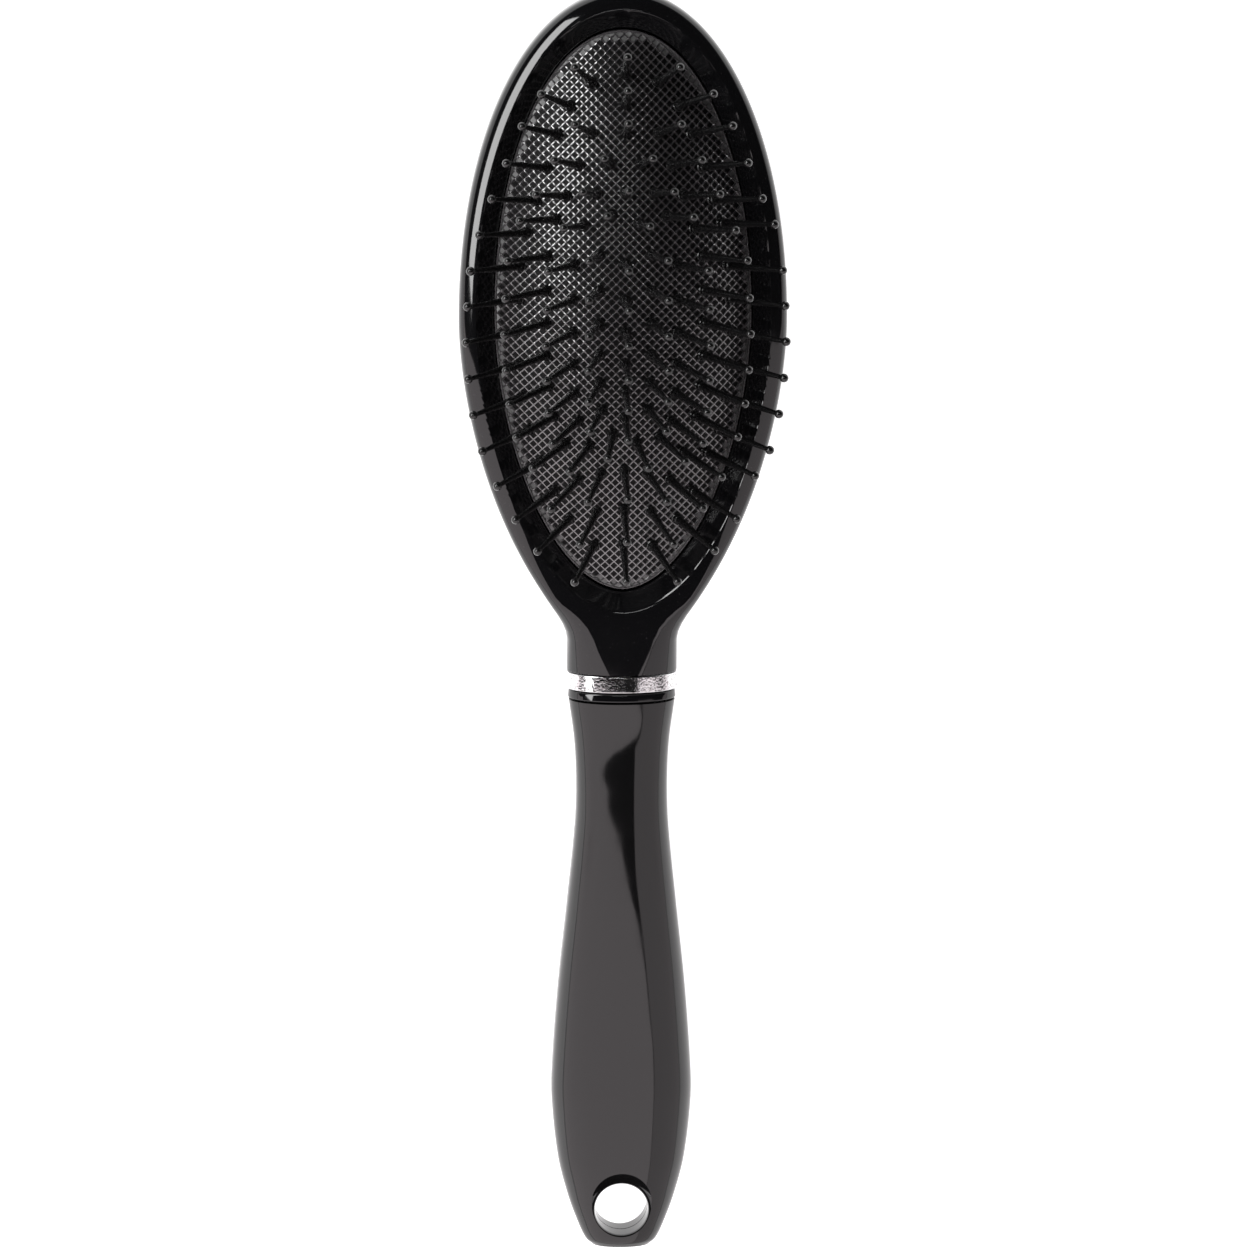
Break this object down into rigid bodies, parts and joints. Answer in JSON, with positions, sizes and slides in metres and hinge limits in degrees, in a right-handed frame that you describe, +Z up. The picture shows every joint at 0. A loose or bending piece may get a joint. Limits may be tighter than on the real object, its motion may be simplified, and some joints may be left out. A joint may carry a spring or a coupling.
{
  "type": "oval cushion hair brush",
  "caption": "Oval cushion hair brush with a domed rubber pad, ball-tipped pins, a gloss head, a bright collar and a contoured handle with a hanging hole.",
  "frame": {"origin": "middle of the footprint on the surface the brush rests on, lying on its back", "axes": "+Z up, the way the pins point; +Y from the handle to the head tip; +X to the right seen from the pin side"},
  "size_m": [0.0624, 0.245, 0.0386],
  "materials": {
    "head_gloss_black": "high gloss",
    "handle_black": "semi gloss",
    "collar_chrome": "mirror bright",
    "collar_lip_black": "gloss",
    "cushion_rubber": "matte, fine diamond ribs",
    "pin_nylon_black": "satin",
    "backing_felt": "matte",
    "retainer_plastic": "matte"
  },
  "bodies": {
    "head": {"head_shell": "head_gloss_black", "cushion_pad": "cushion_rubber", "pad_retainer": "retainer_plastic", "collar_ring": "collar_chrome", "collar_lip": "collar_lip_black", "handle_front": "handle_black", "handle_rear": "handle_black"},
    "cushion": {"backing_sheet": "backing_felt"},
    "pins_01": {"pin_row_01": "pin_nylon_black"},
    "pins_02": {"pin_row_02": "pin_nylon_black"},
    "pins_03": {"pin_row_03": "pin_nylon_black"},
    "pins_04": {"pin_row_04": "pin_nylon_black"},
    "pins_05": {"pin_row_05": "pin_nylon_black"},
    "pins_06": {"pin_row_06": "pin_nylon_black"},
    "pins_07": {"pin_row_07": "pin_nylon_black"},
    "pins_08": {"pin_row_08": "pin_nylon_black"},
    "pins_09": {"pin_row_09": "pin_nylon_black"},
    "pins_10": {"pin_row_10": "pin_nylon_black"},
    "pins_11": {"pin_row_11": "pin_nylon_black"},
    "pins_12": {"pin_row_12": "pin_nylon_black"},
    "pins_13": {"pin_row_13": "pin_nylon_black"},
    "pins_14": {"pin_row_14": "pin_nylon_black"},
    "pins_15": {"pin_row_15": "pin_nylon_black"},
    "pins_16": {"pin_row_16": "pin_nylon_black"}
  },
  "joints": [
    {"name": "cushion_press", "type": "slide", "parent": "head", "child": "cushion", "axis": [0, 0, -1], "range_m": [0, 0.003], "stiffness_N_per_m": 200, "springref_m": -0.001, "deforming": ["cushion_pad"]},
    {"name": "rock_01", "type": "hinge", "parent": "cushion", "child": "pins_01", "pos_m": [0, 0.1064, 0.0117], "axis": [1, 0, 0], "range_deg": [-5, 5], "stiffness_Nm_per_rad": 0.004},
    {"name": "rock_02", "type": "hinge", "parent": "cushion", "child": "pins_02", "pos_m": [0, 0.1015, 0.0129], "axis": [1, 0, 0], "range_deg": [-5, 5], "stiffness_Nm_per_rad": 0.004},
    {"name": "rock_03", "type": "hinge", "parent": "cushion", "child": "pins_03", "pos_m": [0, 0.0962, 0.014], "axis": [1, 0, 0], "range_deg": [-5, 5], "stiffness_Nm_per_rad": 0.004},
    {"name": "rock_04", "type": "hinge", "parent": "cushion", "child": "pins_04", "pos_m": [0, 0.0903, 0.015], "axis": [1, 0, 0], "range_deg": [-5, 5], "stiffness_Nm_per_rad": 0.004},
    {"name": "rock_05", "type": "hinge", "parent": "cushion", "child": "pins_05", "pos_m": [0, 0.0846, 0.0157], "axis": [1, 0, 0], "range_deg": [-5, 5], "stiffness_Nm_per_rad": 0.004},
    {"name": "rock_06", "type": "hinge", "parent": "cushion", "child": "pins_06", "pos_m": [0, 0.079, 0.016], "axis": [1, 0, 0], "range_deg": [-5, 5], "stiffness_Nm_per_rad": 0.004},
    {"name": "rock_07", "type": "hinge", "parent": "cushion", "child": "pins_07", "pos_m": [0, 0.0721, 0.0163], "axis": [1, 0, 0], "range_deg": [-5, 5], "stiffness_Nm_per_rad": 0.004},
    {"name": "rock_08", "type": "hinge", "parent": "cushion", "child": "pins_08", "pos_m": [0, 0.0656, 0.0165], "axis": [1, 0, 0], "range_deg": [-5, 5], "stiffness_Nm_per_rad": 0.004},
    {"name": "rock_09", "type": "hinge", "parent": "cushion", "child": "pins_09", "pos_m": [0, 0.0594, 0.0165], "axis": [1, 0, 0], "range_deg": [-5, 5], "stiffness_Nm_per_rad": 0.004},
    {"name": "rock_10", "type": "hinge", "parent": "cushion", "child": "pins_10", "pos_m": [0, 0.0533, 0.0163], "axis": [1, 0, 0], "range_deg": [-5, 5], "stiffness_Nm_per_rad": 0.004},
    {"name": "rock_11", "type": "hinge", "parent": "cushion", "child": "pins_11", "pos_m": [0, 0.0475, 0.016], "axis": [1, 0, 0], "range_deg": [-5, 5], "stiffness_Nm_per_rad": 0.004},
    {"name": "rock_12", "type": "hinge", "parent": "cushion", "child": "pins_12", "pos_m": [0, 0.0418, 0.0156], "axis": [1, 0, 0], "range_deg": [-5, 5], "stiffness_Nm_per_rad": 0.004},
    {"name": "rock_13", "type": "hinge", "parent": "cushion", "child": "pins_13", "pos_m": [0, 0.0364, 0.0153], "axis": [1, 0, 0], "range_deg": [-5, 5], "stiffness_Nm_per_rad": 0.004},
    {"name": "rock_14", "type": "hinge", "parent": "cushion", "child": "pins_14", "pos_m": [0, 0.0303, 0.0145], "axis": [1, 0, 0], "range_deg": [-5, 5], "stiffness_Nm_per_rad": 0.004},
    {"name": "rock_15", "type": "hinge", "parent": "cushion", "child": "pins_15", "pos_m": [0, 0.0238, 0.0132], "axis": [1, 0, 0], "range_deg": [-5, 5], "stiffness_Nm_per_rad": 0.004},
    {"name": "rock_16", "type": "hinge", "parent": "cushion", "child": "pins_16", "pos_m": [0, 0.0176, 0.0118], "axis": [1, 0, 0], "range_deg": [-5, 5], "stiffness_Nm_per_rad": 0.004}
  ]
}
